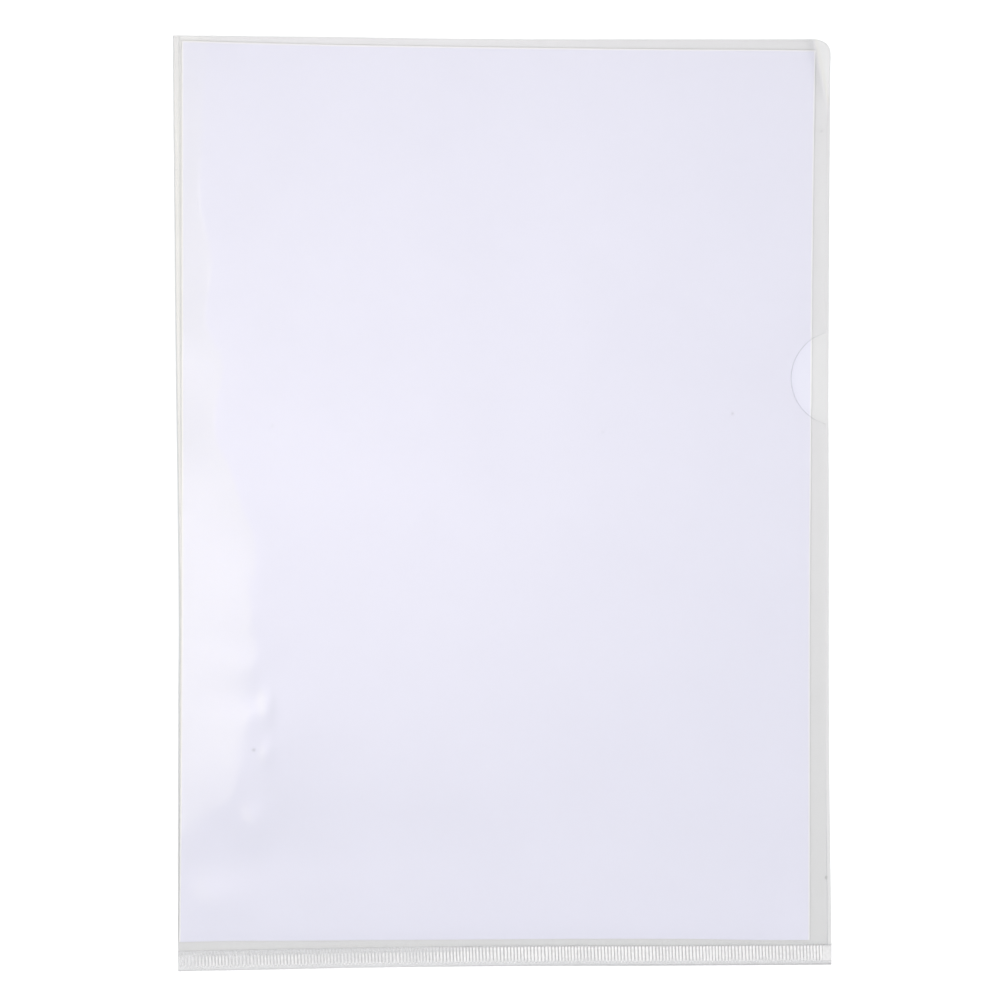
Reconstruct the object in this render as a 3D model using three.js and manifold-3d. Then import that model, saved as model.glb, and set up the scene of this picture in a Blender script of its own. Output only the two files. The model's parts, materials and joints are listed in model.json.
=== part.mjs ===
// L-shaped clear plastic folder for one A4 sheet, lying flat with its front leaf up.
// Millimetres. X runs across the folder from the fold to the open side, Y runs up from the
// welded foot to the open top, and Z is up. The origin is under the middle of the folder.
import * as THREE from 'three';
import { mergeVertices } from 'three/addons/utils/BufferGeometryUtils.js';
import Module from 'manifold-3d';

const wasm = await Module();
wasm.setup();

// The sheet that the folder is made for
const SHEET_WIDTH = 210;
const SHEET_HEIGHT = 297;
const SHEET_THICKNESS = 0.1;
const SHEET_TILT = THREE.MathUtils.degToRad(-0.443);
const SHEET_FOLD_GAP = 0.48;
const SHEET_WELD_GAP = 1.65;
const SHEET_UNDER_GAP = 0.05;

// The film and how much larger than the sheet it is cut
const FILM = 0.2;
const EXTRA_WIDTH = 7.5;
const EXTRA_HEIGHT = 12;
const CORNER_RADIUS = 4;
const FRONT_SETBACK = 0.7;

// The pocket between the leaves
const POCKET_SLACK = 0.55;
const WELD_MOUTH = 0.05;
const WELD_RAMP = 7;
const RAMP_STEPS = 8;

// The fold
const FOLD_STRIP = 1.5;
const FOLD_ARC_STEPS = 10;

// The ribbed weld along the foot
const WELD_LIP = 1.4;
const RIB_LENGTH = 5.2;
const RIB_PITCH = 1.125;
const RIB_WIDTH = 0.7;
const RIB_DEPTH = 0.2;
const RIB_END_MARGIN = 2.1;

// The thumb notch in the front leaf's open edge
const NOTCH_RADIUS = 15.7;
const NOTCH_OUTSET = 3.3;
const NOTCH_FROM_TOP = 113;
const NOTCH_STEPS = 32;

// The line on which the front leaf's free corner bends, and how far the corner springs up
const FLEX_FROM_FOLD = 11.75;
const FLEX_FROM_WELD = 10;
const FLEX_GAP = 0.3;
const CORNER_SPRING = 2.5;
const SPRING_STEPS = 12;

// Places worked out from the sizes
const WIDTH = SHEET_WIDTH + EXTRA_WIDTH;
const HEIGHT = SHEET_HEIGHT + EXTRA_HEIGHT;
const LEFT = -WIDTH / 2;
const RIGHT = WIDTH / 2;
const TOP = HEIGHT / 2;
const FOOT = -HEIGHT / 2;
const FOLD_END = LEFT + FOLD_STRIP;
const FRONT_RIGHT = RIGHT - FRONT_SETBACK;
const WELD_TOP = FOOT + WELD_LIP + RIB_LENGTH;
const RAMP_END = WELD_TOP + WELD_RAMP;
const POCKET_DEPTH = SHEET_UNDER_GAP + SHEET_THICKNESS + POCKET_SLACK;
const FRONT_BASE = FILM + POCKET_DEPTH;
const FRONT_TOP = FRONT_BASE + FILM;
const WELD_THICKNESS = 2 * FILM + WELD_MOUTH;
const FLEX_START = new THREE.Vector2(LEFT + FLEX_FROM_FOLD, TOP);
const FLEX_END = new THREE.Vector2(FRONT_RIGHT, WELD_TOP + FLEX_FROM_WELD);
const FLEX_ALONG = FLEX_END.clone().sub(FLEX_START).normalize();
const FLEX_ACROSS = new THREE.Vector2(-FLEX_ALONG.y, FLEX_ALONG.x);
const FLEX_LENGTH = FLEX_START.distanceTo(FLEX_END);
const FREE_REACH = new THREE.Vector2(FRONT_RIGHT, TOP).sub(FLEX_START).dot(FLEX_ACROSS);

// Corners nearer than this are one corner
const SAME_POINT = 1e-5;

// Cutting helpers: a closed geometry becomes a solid, and a solid becomes a geometry again
function toSolid(geometry) {
  const bare = geometry.clone();
  bare.deleteAttribute('normal');
  bare.deleteAttribute('uv');
  const merged = mergeVertices(bare, SAME_POINT);
  return new wasm.Manifold(new wasm.Mesh({
    numProp: 3,
    vertProperties: merged.attributes.position.array,
    triVerts: Uint32Array.from(merged.index.array),
  }));
}

function toGeometry(solid) {
  const { vertProperties, triVerts } = solid.getMesh();
  const geometry = new THREE.BufferGeometry();
  geometry.setAttribute('position', new THREE.BufferAttribute(vertProperties, 3));
  geometry.setIndex(new THREE.BufferAttribute(triVerts, 1));
  geometry.computeVertexNormals();
  return geometry;
}

function shapeOf(points) {
  return new THREE.Shape(points.map(([x, y]) => new THREE.Vector2(x, y)));
}

// An outline in plan, raised from one height to another
function raised(outline, low, high, curveSegments = 12) {
  const options = { depth: high - low, bevelEnabled: false, curveSegments };
  return new THREE.ExtrudeGeometry(outline, options).translate(0, 0, low);
}

// An outline drawn in length and height, carried across X from one side to the other
function carriedAcross(outline, left, right) {
  const options = { depth: right - left, bevelEnabled: false };
  const swing = new THREE.Matrix4().makeBasis(
    new THREE.Vector3(0, 1, 0),
    new THREE.Vector3(0, 0, 1),
    new THREE.Vector3(1, 0, 0),
  );
  return new THREE.ExtrudeGeometry(outline, options).applyMatrix4(swing).translate(left, 0, 0);
}

// An outline drawn across and up, carried up Y from one height on the page to another
function carriedUpPage(outline, low, high) {
  const options = { depth: high - low, bevelEnabled: false };
  return new THREE.ExtrudeGeometry(outline, options).rotateX(Math.PI / 2).translate(0, high, 0);
}

// A solid skin through rings of equal count, each a closed outline at one place on the page
function lofted(rings) {
  const count = rings[0].length;
  const caps = THREE.ShapeUtils.triangulateShape(
    rings[0].map(([x, , z]) => new THREE.Vector2(x, z)),
    [],
  );
  const last = (rings.length - 1) * count;
  const faces = [];
  for (const [a, b, c] of caps) {
    faces.push(a, b, c, last + a, last + c, last + b);
  }
  for (let ring = 0; ring < rings.length - 1; ring += 1) {
    for (let at = 0; at < count; at += 1) {
      const here = ring * count + at;
      const next = ring * count + (at + 1) % count;
      faces.push(here, here + count, next, next, here + count, next + count);
    }
  }
  const geometry = new THREE.BufferGeometry();
  geometry.setAttribute('position', new THREE.Float32BufferAttribute(rings.flat(2), 3));
  geometry.setIndex(faces);
  geometry.computeVertexNormals();
  return geometry;
}

// The pocket opens from its mouth at the weld to its full depth along a parabola
function pocketDepth(y) {
  const t = THREE.MathUtils.clamp((y - WELD_TOP) / WELD_RAMP, 0, 1);
  return WELD_MOUTH + (POCKET_DEPTH - WELD_MOUTH) * (1 - (1 - t) ** 2);
}

// Heights on the page at which the opening of the pocket is followed up from the weld
function rampStations() {
  const stations = [];
  for (let step = 0; step <= RAMP_STEPS; step += 1) {
    stations.push(WELD_TOP + WELD_RAMP * step / RAMP_STEPS);
  }
  return stations;
}

// The back leaf: one flat sheet of film with its free corner rounded
function backLeaf() {
  const outline = new THREE.Shape();
  outline.moveTo(FOLD_END, WELD_TOP);
  outline.lineTo(RIGHT, WELD_TOP);
  outline.absarc(RIGHT - CORNER_RADIUS, TOP - CORNER_RADIUS, CORNER_RADIUS, 0, Math.PI / 2);
  outline.lineTo(FOLD_END, TOP);
  return raised(outline, 0, FILM);
}

// The fold: the film turns from the back leaf to the front leaf round half a circle
function leftFold() {
  const rings = [...rampStations(), TOP].map((y) => {
    const inner = pocketDepth(y) / 2;
    const outer = inner + FILM;
    const centre = LEFT + outer;
    const arc = (radius, step) => {
      const angle = Math.PI / 2 + Math.PI * step / FOLD_ARC_STEPS;
      return [centre + radius * Math.cos(angle), y, outer + radius * Math.sin(angle)];
    };
    const steps = Array.from({ length: FOLD_ARC_STEPS + 1 }, (_, step) => step);
    return [
      [FOLD_END, y, 2 * outer],
      ...steps.map((step) => arc(outer, step)),
      [FOLD_END, y, 0],
      [FOLD_END, y, FILM],
      ...steps.toReversed().map((step) => arc(inner, step)),
      [FOLD_END, y, outer + inner],
    ];
  });
  return lofted(rings);
}

// The foot of the front leaf: the strip that leaves the weld up a short ramp
function frontLeafFoot() {
  const stations = rampStations();
  const under = stations.map((y) => [y, FILM + pocketDepth(y)]);
  const over = stations.map((y) => [y, 2 * FILM + pocketDepth(y)]).toReversed();
  return carriedAcross(shapeOf([...under, ...over]), FOLD_END, FRONT_RIGHT);
}

// The held part of the front leaf: a level sheet from the ramp to the line the corner bends on
function frontLeaf() {
  const plan = shapeOf([
    [FOLD_END, RAMP_END],
    [FRONT_RIGHT, RAMP_END],
    [FRONT_RIGHT, FLEX_END.y - FLEX_GAP / 2 / FLEX_ACROSS.y],
    [FLEX_START.x - FLEX_GAP / 2 / FLEX_ACROSS.x, TOP],
    [FOLD_END, TOP],
  ]);
  return raised(plan, FRONT_BASE, FRONT_TOP);
}

// The front leaf's outline near its free corner, with the thumb notch cut into the open edge
function frontOutline() {
  const centre = new THREE.Vector2(FRONT_RIGHT + NOTCH_OUTSET, TOP - NOTCH_FROM_TOP);
  const reach = Math.acos(-NOTCH_OUTSET / NOTCH_RADIUS);
  const outline = new THREE.Shape();
  outline.moveTo(LEFT, FOOT);
  outline.lineTo(FRONT_RIGHT, FOOT);
  for (let step = 0; step <= NOTCH_STEPS; step += 1) {
    const angle = -reach - 2 * (Math.PI - reach) * step / NOTCH_STEPS;
    outline.lineTo(
      centre.x + NOTCH_RADIUS * Math.cos(angle),
      centre.y + NOTCH_RADIUS * Math.sin(angle),
    );
  }
  const bend = CORNER_RADIUS;
  outline.absarc(FRONT_RIGHT - bend, TOP - bend, bend, 0, Math.PI / 2);
  outline.lineTo(LEFT, TOP);
  return outline;
}

// The free corner springs up as the square of the distance from the line it bends on
function springHeight(distance) {
  return CORNER_SPRING * (distance / FREE_REACH) ** 2;
}

// The free corner of the front leaf: a sheet curved one way, cut to the leaf's outline
function frontCorner() {
  const distances = [];
  for (let step = 0; step <= SPRING_STEPS; step += 1) {
    distances.push(FLEX_GAP / 2 + FREE_REACH * step / SPRING_STEPS);
  }
  const under = distances.map((d) => [d, FRONT_BASE + springHeight(d)]);
  const over = distances.map((d) => [d, FRONT_TOP + springHeight(d)]).toReversed();
  const sheet = new THREE.ExtrudeGeometry(shapeOf([...under, ...over]), {
    depth: FLEX_LENGTH,
    bevelEnabled: false,
  });
  const across = new THREE.Vector3(FLEX_ACROSS.x, FLEX_ACROSS.y, 0);
  const up = new THREE.Vector3(0, 0, 1);
  const along = new THREE.Vector3().crossVectors(across, up);
  const turn = new THREE.Matrix4().makeBasis(across, up, along);
  sheet.applyMatrix4(turn).translate(FLEX_START.x, FLEX_START.y, 0);
  const plan = raised(frontOutline(), 0, FRONT_TOP + 2 * CORNER_SPRING);
  return toGeometry(toSolid(sheet).intersect(toSolid(plan)));
}

// The weld: both leaves melted together, pressed into a row of ribs above a plain lip
function bottomWeld() {
  const valley = WELD_THICKNESS - RIB_DEPTH;
  const count = Math.floor((WIDTH - RIB_END_MARGIN) / RIB_PITCH);
  const side = (RIB_PITCH - RIB_WIDTH) / 2;
  const comb = [[LEFT, 0], [RIGHT, 0], [RIGHT, valley]];
  for (let rib = count - 1; rib >= 0; rib -= 1) {
    const start = LEFT + rib * RIB_PITCH + side;
    comb.push([start + RIB_WIDTH, valley], [start + RIB_WIDTH, WELD_THICKNESS]);
    comb.push([start, WELD_THICKNESS], [start, valley]);
  }
  comb.push([LEFT, valley]);
  const ribs = carriedUpPage(shapeOf(comb), FOOT + WELD_LIP / 2, WELD_TOP);
  const foot = [[LEFT, FOOT], [RIGHT, FOOT], [RIGHT, FOOT + WELD_LIP], [LEFT, FOOT + WELD_LIP]];
  const lip = raised(shapeOf(foot), 0, WELD_THICKNESS);
  return toGeometry(toSolid(ribs).add(toSolid(lip)));
}

function clearFilm(colour, roughness, opacity) {
  return new THREE.MeshStandardMaterial({
    color: new THREE.Color(colour),
    roughness,
    metalness: 0,
    transparent: true,
    opacity,
  });
}

function named(name, geometry, material) {
  const mesh = new THREE.Mesh(geometry, material);
  mesh.name = name;
  return mesh;
}

// The paper sheet stands against the fold with its low corner and is tilted a little
function paperSheet() {
  const paper = new THREE.MeshStandardMaterial({ color: '#eeedf7', roughness: 0.85, metalness: 0 });
  const sheet = new THREE.BoxGeometry(SHEET_WIDTH, SHEET_HEIGHT, SHEET_THICKNESS);
  const mesh = named('paper_sheet', sheet, paper);
  const cos = Math.cos(SHEET_TILT);
  const sin = Math.abs(Math.sin(SHEET_TILT));
  mesh.rotation.z = SHEET_TILT;
  mesh.position.set(
    LEFT + SHEET_FOLD_GAP + (SHEET_WIDTH * cos + SHEET_HEIGHT * sin) / 2,
    WELD_TOP + SHEET_WELD_GAP + (SHEET_HEIGHT * cos + SHEET_WIDTH * sin) / 2,
    FILM + SHEET_UNDER_GAP + SHEET_THICKNESS / 2,
  );
  return mesh;
}

const folder = new THREE.Group();
folder.add(
  named('back_leaf', backLeaf(), clearFilm('#e6e8ea', 0.12, 0.35)),
  named('left_fold', leftFold(), clearFilm('#eceef0', 0.1, 0.45)),
  named('front_leaf_foot', frontLeafFoot(), clearFilm('#eef0f2', 0.1, 0.3)),
  named('front_leaf', frontLeaf(), clearFilm('#eef0f2', 0.1, 0.3)),
  named('front_corner', frontCorner(), clearFilm('#f0f2f4', 0.1, 0.3)),
  named('bottom_weld', bottomWeld(), clearFilm('#f2f2f2', 0.3, 0.6)),
  paperSheet(),
);

export default folder;
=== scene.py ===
"""A clear plastic folder with one sheet of paper, lying on a pale studio floor.

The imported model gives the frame. Each zone of the folder is a class that works out its surface
with numpy in millimetres, in the frame's own axes: X across from the fold, Y up the page, Z up.
Two leaves of film are joined by a fold on the left and a ribbed weld along the foot.
"""

from __future__ import annotations

import json
import logging
import math
from dataclasses import dataclass, field
from enum import Enum

import bpy
import numpy as np
from mathutils import Matrix, Vector

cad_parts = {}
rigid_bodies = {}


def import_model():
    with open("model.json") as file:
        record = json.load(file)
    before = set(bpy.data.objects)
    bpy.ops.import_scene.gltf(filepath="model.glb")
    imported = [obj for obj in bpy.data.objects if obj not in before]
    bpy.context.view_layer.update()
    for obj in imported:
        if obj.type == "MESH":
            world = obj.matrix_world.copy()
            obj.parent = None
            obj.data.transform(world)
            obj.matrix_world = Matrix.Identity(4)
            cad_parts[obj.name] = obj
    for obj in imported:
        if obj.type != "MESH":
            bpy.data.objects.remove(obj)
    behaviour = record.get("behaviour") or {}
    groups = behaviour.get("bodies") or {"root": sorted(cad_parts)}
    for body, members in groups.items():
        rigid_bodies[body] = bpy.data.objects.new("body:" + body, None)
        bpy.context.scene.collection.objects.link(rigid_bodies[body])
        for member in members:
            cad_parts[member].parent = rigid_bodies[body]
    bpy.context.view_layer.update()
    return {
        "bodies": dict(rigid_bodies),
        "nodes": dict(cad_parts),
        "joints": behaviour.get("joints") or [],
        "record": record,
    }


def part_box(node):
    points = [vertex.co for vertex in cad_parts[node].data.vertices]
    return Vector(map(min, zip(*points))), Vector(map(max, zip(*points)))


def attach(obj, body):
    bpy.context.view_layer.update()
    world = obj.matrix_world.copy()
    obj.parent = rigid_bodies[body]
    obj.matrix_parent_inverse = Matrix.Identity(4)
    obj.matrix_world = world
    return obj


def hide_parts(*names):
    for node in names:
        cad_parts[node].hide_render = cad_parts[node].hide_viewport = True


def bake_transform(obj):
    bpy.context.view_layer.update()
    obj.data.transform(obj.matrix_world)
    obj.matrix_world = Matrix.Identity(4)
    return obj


MM = 0.001
SEAM_IN = 0.4  # how far in the film's seam under the fold lies from the solids' seam
SHARP_EDGE = math.radians(40)
LOG = logging.getLogger("folder")
Array = np.ndarray
Material = bpy.types.Material
Node = bpy.types.Node
NodeTree = bpy.types.NodeTree
Socket = bpy.types.NodeSocket
Thing = bpy.types.Object
Knots = tuple[tuple[float, float], ...]
Waves = tuple[tuple[float, float, float], ...]
Colour = tuple[float, float, float]


class Slot(Enum):
    """Material slots of the record."""

    CLEAR_FILM = "clear_film"
    WELDED_FILM = "welded_film"
    PAPER = "paper"


class Body(Enum):
    """Bodies that the pieces ride on."""

    FOLDER = "folder"
    FREE_CORNER = "free_corner"
    PAPER = "paper"


# Curves and grids


def eased(value: Array, low: float, high: float) -> Array:
    """Gives 0 below low, 1 above high, and 3t² - 2t³ between, with t running from 0 to 1."""
    t = np.clip((value - low) / (high - low), 0.0, 1.0)
    return t * t * (3.0 - 2.0 * t)


def through_knots(at: Array, knots: Knots) -> Array:
    """Follows knots with cubic arcs, whose slope at a knot is the mean slope beside it.

    Args:
        at: places to read the curve at.
        knots: pairs of place and value, in rising order of place.

    Returns:
        The curve's value at each place, held level outside the knots.
    """
    where, what = np.asarray(knots, float).T
    slope = np.gradient(what, where)
    held = np.clip(at, where[0], where[-1])
    k = np.clip(np.searchsorted(where, held, side="right") - 1, 0, len(where) - 2)
    span = where[k + 1] - where[k]
    t = (held - where[k]) / span
    ends = (1 + 2 * t) * (1 - t) ** 2 * what[k] + t * t * (3 - 2 * t) * what[k + 1]
    bends = t * (1 - t) ** 2 * slope[k] + t * t * (t - 1) * slope[k + 1]
    return ends + span * bends


def waves_along(at: Array, waves: Waves) -> Array:
    """Adds up sine waves, each given by its height, its rate and its start in radians."""
    return sum(height * np.sin(at * rate + start) for height, rate, start in waves)


def lower_of(a: Array, b: Array, width: Array) -> Array:
    """Takes the lower height, rounded over a width w: -w log(e^(-a/w) + e^(-b/w))."""
    return -width * np.logaddexp(-a / width, -b / width)


def at_heights(plan: Array, heights: Array | float) -> Array:
    """Gives each point of a plan its height, as one grid of points."""
    return np.concatenate([plan, np.broadcast_to(heights, plan.shape[:2])[..., None]], axis=2)


def between(first: Array, last: Array, share: Array) -> Array:
    """Runs straight rows from each first point to its last, with points at the shares given."""
    return first[:, None] * (1.0 - share[:, None]) + last[:, None] * share[:, None]


def surface_normals(points: Array) -> Array:
    """Gives a grid's unit normals: the cross product of the steps along a row and up a column.

    Args:
        points: grid of shape rows, columns, 3, with rows running up the page.

    Returns:
        Unit normals of the same shape.
    """
    along = np.gradient(points, axis=1)
    upward = np.gradient(points, axis=0)
    normal = np.cross(along, upward)
    return normal / np.linalg.norm(normal, axis=2, keepdims=True)


def grid_faces(rows: int, columns: int, start: int, turned: bool) -> Array:
    """Numbers the four-sided faces of a grid of vertices.

    Args:
        rows: rows of vertices.
        columns: vertices in a row.
        start: number of the first vertex.
        turned: whether the faces point the other way.

    Returns:
        Array of vertex numbers, four to a face.
    """
    index = np.arange(rows * columns).reshape(rows, columns) + start
    a, b = index[:-1, :-1].ravel(), index[:-1, 1:].ravel()
    c, d = index[1:, 1:].ravel(), index[1:, :-1].ravel()
    return np.stack([a, d, c, b] if turned else [a, b, c, d], axis=1)


def placed(name: str, data: bpy.types.ID) -> Thing:
    """Makes an object of a mesh, lamp or camera.

    Args:
        name: name of the new object.
        data: what it shows.

    Returns:
        The object, linked to the scene.
    """
    thing = bpy.data.objects.new(name, data)
    bpy.context.collection.objects.link(thing)
    return thing


@dataclass
class Shell:
    """A closed thin sheet between two grids of equal size, walled round its four borders."""

    outer: Array
    inner: Array
    flat: Array
    fields: dict[str, Array] = field(default_factory=dict)

    def faces(self) -> Array:
        """Joins both grids into one closed body with faces pointing out.

        The border runs once round the grid against the clock, and each of its steps makes one
        wall face between the outer and the inner grid.

        Returns:
            Array of vertex numbers, four to a face.
        """
        rows, columns = self.outer.shape[:2]
        count = rows * columns
        index = np.arange(count).reshape(rows, columns)
        border = np.concatenate(
            [index[0, :-1], index[:-1, -1], index[-1, :0:-1], index[:0:-1, 0]]
        )
        ahead = np.roll(border, -1)
        walls = np.stack([ahead, border, border + count, ahead + count], axis=1)
        top = grid_faces(rows, columns, 0, turned=False)
        under = grid_faces(rows, columns, count, turned=True)
        return np.concatenate([top, under, walls])

    def build(self, name: str, finish: Material) -> Thing:
        """Makes the mesh object in metres, at the origin, with its map, fields and finish.

        Args:
            name: name of the new object.
            finish: its material.

        Returns:
            The object, linked to the scene.
        """
        points = np.concatenate([self.outer.reshape(-1, 3), self.inner.reshape(-1, 3)]) * MM
        faces = self.faces()
        mesh = bpy.data.meshes.new(name)
        mesh.vertices.add(len(points))
        mesh.vertices.foreach_set("co", points.astype(np.float32).ravel())
        mesh.loops.add(faces.size)
        mesh.loops.foreach_set("vertex_index", faces.astype(np.int32).ravel())
        mesh.polygons.add(len(faces))
        mesh.polygons.foreach_set("loop_start", np.arange(0, faces.size, 4, dtype=np.int32))
        mesh.polygons.foreach_set("use_smooth", np.ones(len(faces), bool))
        mesh.update(calc_edges=True)
        mesh.validate()
        mesh.set_sharp_from_angle(angle=SHARP_EDGE)
        lying = np.tile(self.flat.reshape(-1, 2), (2, 1))[faces.ravel()]
        layer = mesh.uv_layers.new(name="lying_flat")
        layer.uv.foreach_set("vector", lying.astype(np.float32).ravel())
        for label, values in self.fields.items():
            both = np.tile(values.ravel(), 2).astype(np.float32)
            mesh.attributes.new(label, "FLOAT", "POINT").data.foreach_set("value", both)
        mesh.materials.append(finish)
        return placed(name, mesh)


# Sizes


@dataclass(frozen=True)
class FolderSizes:
    """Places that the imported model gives, in millimetres."""

    left: float
    right: float
    foot: float
    top: float
    weld_top: float
    fold_end: float
    front_right: float
    film: float
    weld_thickness: float
    level: float
    paper_low: float
    paper_high: float
    flex_start: tuple[float, float]
    flex_across: tuple[float, float]

    @classmethod
    def from_frame(cls, frame: dict) -> FolderSizes:
        """Reads the boxes of the nodes and the corner's hinge.


        Returns:
            The sizes.
        """
        back = [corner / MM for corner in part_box("back_leaf")]
        weld = [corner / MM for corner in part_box("bottom_weld")]
        held = [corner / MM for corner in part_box("front_leaf")]
        paper = [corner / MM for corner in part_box("paper_sheet")]
        hinge = next(j for j in frame["joints"] if j["type"] == "hinge")
        along = hinge["axis"]
        return cls(
            left=weld[0].x,
            right=weld[1].x,
            foot=weld[0].y,
            top=back[1].y,
            weld_top=weld[1].y,
            fold_end=back[0].x + SEAM_IN,
            front_right=held[1].x,
            film=back[1].z - back[0].z,
            weld_thickness=weld[1].z - weld[0].z,
            level=held[1].z,
            paper_low=paper[0].z,
            paper_high=paper[1].z,
            flex_start=(hinge["pos_m"][0] / MM, hinge["pos_m"][1] / MM),
            flex_across=(-along[1], along[0]),
        )

    def past_flex(self, x: Array, y: Array) -> Array:
        """Gives the distance past the line that the free corner bends on, or 0 before it."""
        (from_x, from_y), (across_x, across_y) = self.flex_start, self.flex_across
        return np.maximum((x - from_x) * across_x + (y - from_y) * across_y, 0.0)


# Material graph


class Graph:
    """Short way to place and join the nodes of one tree."""

    def __init__(self, tree: NodeTree) -> None:
        """Starts with an empty tree."""
        self.tree = tree
        tree.nodes.clear()

    def add(self, kind: str, **settings: object) -> Node:
        """Places one node.

        Args:
            kind: the node's type name, without its ShaderNode prefix.
            settings: properties of the node.

        Returns:
            The node.
        """
        node = self.tree.nodes.new(kind if kind.startswith("Node") else "ShaderNode" + kind)
        for key, value in settings.items():
            setattr(node, key, value)
        return node

    def feed(self, node: Node, **inputs: object) -> Node:
        """Fills a node's inputs by number, as in i0, or by name with _ for a space.

        Args:
            node: the node to fill.
            inputs: sockets to link or plain values.

        Returns:
            The same node.
        """
        for key, value in inputs.items():
            numbered = key[0] == "i" and key[1:].isdigit()
            socket = node.inputs[int(key[1:]) if numbered else key.replace("_", " ")]
            if isinstance(value, Socket):
                self.tree.links.new(value, socket)
            else:
                socket.default_value = value
        return node

    def math(self, operation: str, *terms: object, clamp: bool = False) -> Socket:
        """Joins sockets or numbers by one step of arithmetic, held from 0 to 1 if clamped."""
        node = self.add("Math", operation=operation, use_clamp=clamp)
        return self.feed(node, **{f"i{n}": term for n, term in enumerate(terms)}).outputs[0]

    def ranged(
        self, value: object, low: float, high: float, start: float = 0.0, end: float = 1.0
    ) -> Socket:
        """Moves a value smoothly from the range low to high to the range start to end."""
        node = self.add("MapRange", interpolation_type="SMOOTHSTEP")
        return self.feed(node, i0=value, i1=low, i2=high, i3=start, i4=end).outputs[0]

    def mixed_colour(self, share: object, first: object, second: object) -> Socket:
        """Mixes two colours by a share, from 0 to 1, of the second."""
        node = self.add("Mix", data_type="RGBA", clamp_factor=True)
        return self.feed(node, i0=share, i6=first, i7=second).outputs[2]

    def mixed(self, share: object, first: Node, second: Node) -> Node:
        """Mixes two shaders by a share of the second."""
        mix = self.add("MixShader")
        return self.feed(mix, i0=share, i1=first.outputs[0], i2=second.outputs[0])

    def show(self, shader: Node, kind: str = "OutputMaterial") -> None:
        """Ends the tree with this shader."""
        self.feed(self.add(kind), Surface=shader.outputs[0])

    def glaze(self, body: Node, roughness: object, ior: float) -> None:
        """Ends the tree with a body that mirrors by Fresnel, the same from both faces.

        Args:
            body: shader of the share that isn't mirrored.
            roughness: roughness of the mirroring face.
            ior: the plastic's index of refraction.
        """
        gloss = self.add("BsdfPrincipled")
        self.feed(gloss, Base_Color=(0.98, 0.98, 0.98, 1), Metallic=1.0, Roughness=roughness)
        behind = self.add("NewGeometry").outputs["Backfacing"]
        both_ways = self.ranged(behind, 0.0, 1.0, ior, 1.0 / ior)
        fresnel = self.feed(self.add("Fresnel"), IOR=both_ways)
        self.show(self.mixed(fresnel.outputs[0], body, gloss))

    def attribute(self, name: str) -> Socket:
        """Reads one of the mesh's own fields."""
        return self.add("Attribute", attribute_name=name).outputs["Fac"]

    def flat_map(self) -> Socket:
        """Reads where on the flat page, in millimetres, a point was cut."""
        return self.add("UVMap", uv_map="lying_flat").outputs[0]


def group_graph(name: str, inputs: dict[str, str], outputs: dict[str, str]) -> Graph:
    """Starts a shader node group with named sockets.

    Args:
        name: the group's name.
        inputs: input names and their kinds, Float, Vector or Color.
        outputs: output names and their kinds.

    Returns:
        A graph of the group's tree.
    """
    tree = bpy.data.node_groups.new(name, "ShaderNodeTree")
    for label, kind in inputs.items():
        tree.interface.new_socket(label, in_out="INPUT", socket_type="NodeSocket" + kind)
    for label, kind in outputs.items():
        tree.interface.new_socket(label, in_out="OUTPUT", socket_type="NodeSocket" + kind)
    return Graph(tree)


class SharedEffects:
    """Node groups that more than one finish uses, built once."""

    def __init__(self) -> None:
        """Builds the groups."""
        self.specks = self._specks()
        self.unevenness = self._unevenness()

    @staticmethod
    def _specks() -> NodeTree:
        """Dust: few round specks, one at most in each cell of a coarse grid of random points.

        Returns:
            The group, with Place, Cell and Size in and Mask out.
        """
        graph = group_graph(
            "dust_specks",
            {"Place": "Vector", "Cell": "Float", "Size": "Float"},
            {"Mask": "Float"},
        )
        given = graph.add("NodeGroupInput")
        inverse = graph.math("DIVIDE", 1.0, given.outputs["Cell"])
        cells = graph.add("TexVoronoi", voronoi_dimensions="2D", feature="F1")
        graph.feed(cells, Vector=given.outputs["Place"], Scale=inverse, Randomness=1.0)
        pick = graph.add("SeparateColor")
        graph.feed(pick, i0=cells.outputs["Color"])
        rare = graph.ranged(pick.outputs[0], 0.74, 0.76)
        share = graph.math("MULTIPLY_ADD", pick.outputs[1], 0.5, 0.5)
        reach = graph.math("MULTIPLY", given.outputs["Size"], share)
        near = graph.math("MULTIPLY", cells.outputs["Distance"], given.outputs["Cell"])
        inside = graph.math("SUBTRACT", reach, near)
        soft = graph.ranged(inside, 0.0, 0.25)
        out = graph.add("NodeGroupOutput")
        graph.feed(out, Mask=graph.math("MULTIPLY", rare, soft))
        return graph.tree

    @staticmethod
    def _unevenness() -> NodeTree:
        """Slow change over the surface, from two sizes of noise.

        Returns:
            The group, with Place, Large and Fine in and Amount out, centred on 0.
        """
        graph = group_graph(
            "unevenness",
            {"Place": "Vector", "Large": "Float", "Fine": "Float"},
            {"Amount": "Float"},
        )
        given = graph.add("NodeGroupInput")
        broad = graph.add("TexNoise", noise_dimensions="2D")
        graph.feed(broad, Vector=given.outputs["Place"], Scale=given.outputs["Large"], Detail=1.0)
        close = graph.add("TexNoise", noise_dimensions="2D")
        graph.feed(close, Vector=given.outputs["Place"], Scale=given.outputs["Fine"], Detail=3.0)
        both = graph.math("ADD", broad.outputs[0], close.outputs[0])
        out = graph.add("NodeGroupOutput")
        graph.feed(out, Amount=graph.math("SUBTRACT", both, 1.0))
        return graph.tree

    @staticmethod
    def place(graph: Graph, group: NodeTree, **inputs: object) -> Socket:
        """Places a group in a material, with its inputs, and gives its first output."""
        return graph.feed(graph.add("Group", node_tree=group), **inputs).outputs[0]


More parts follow.
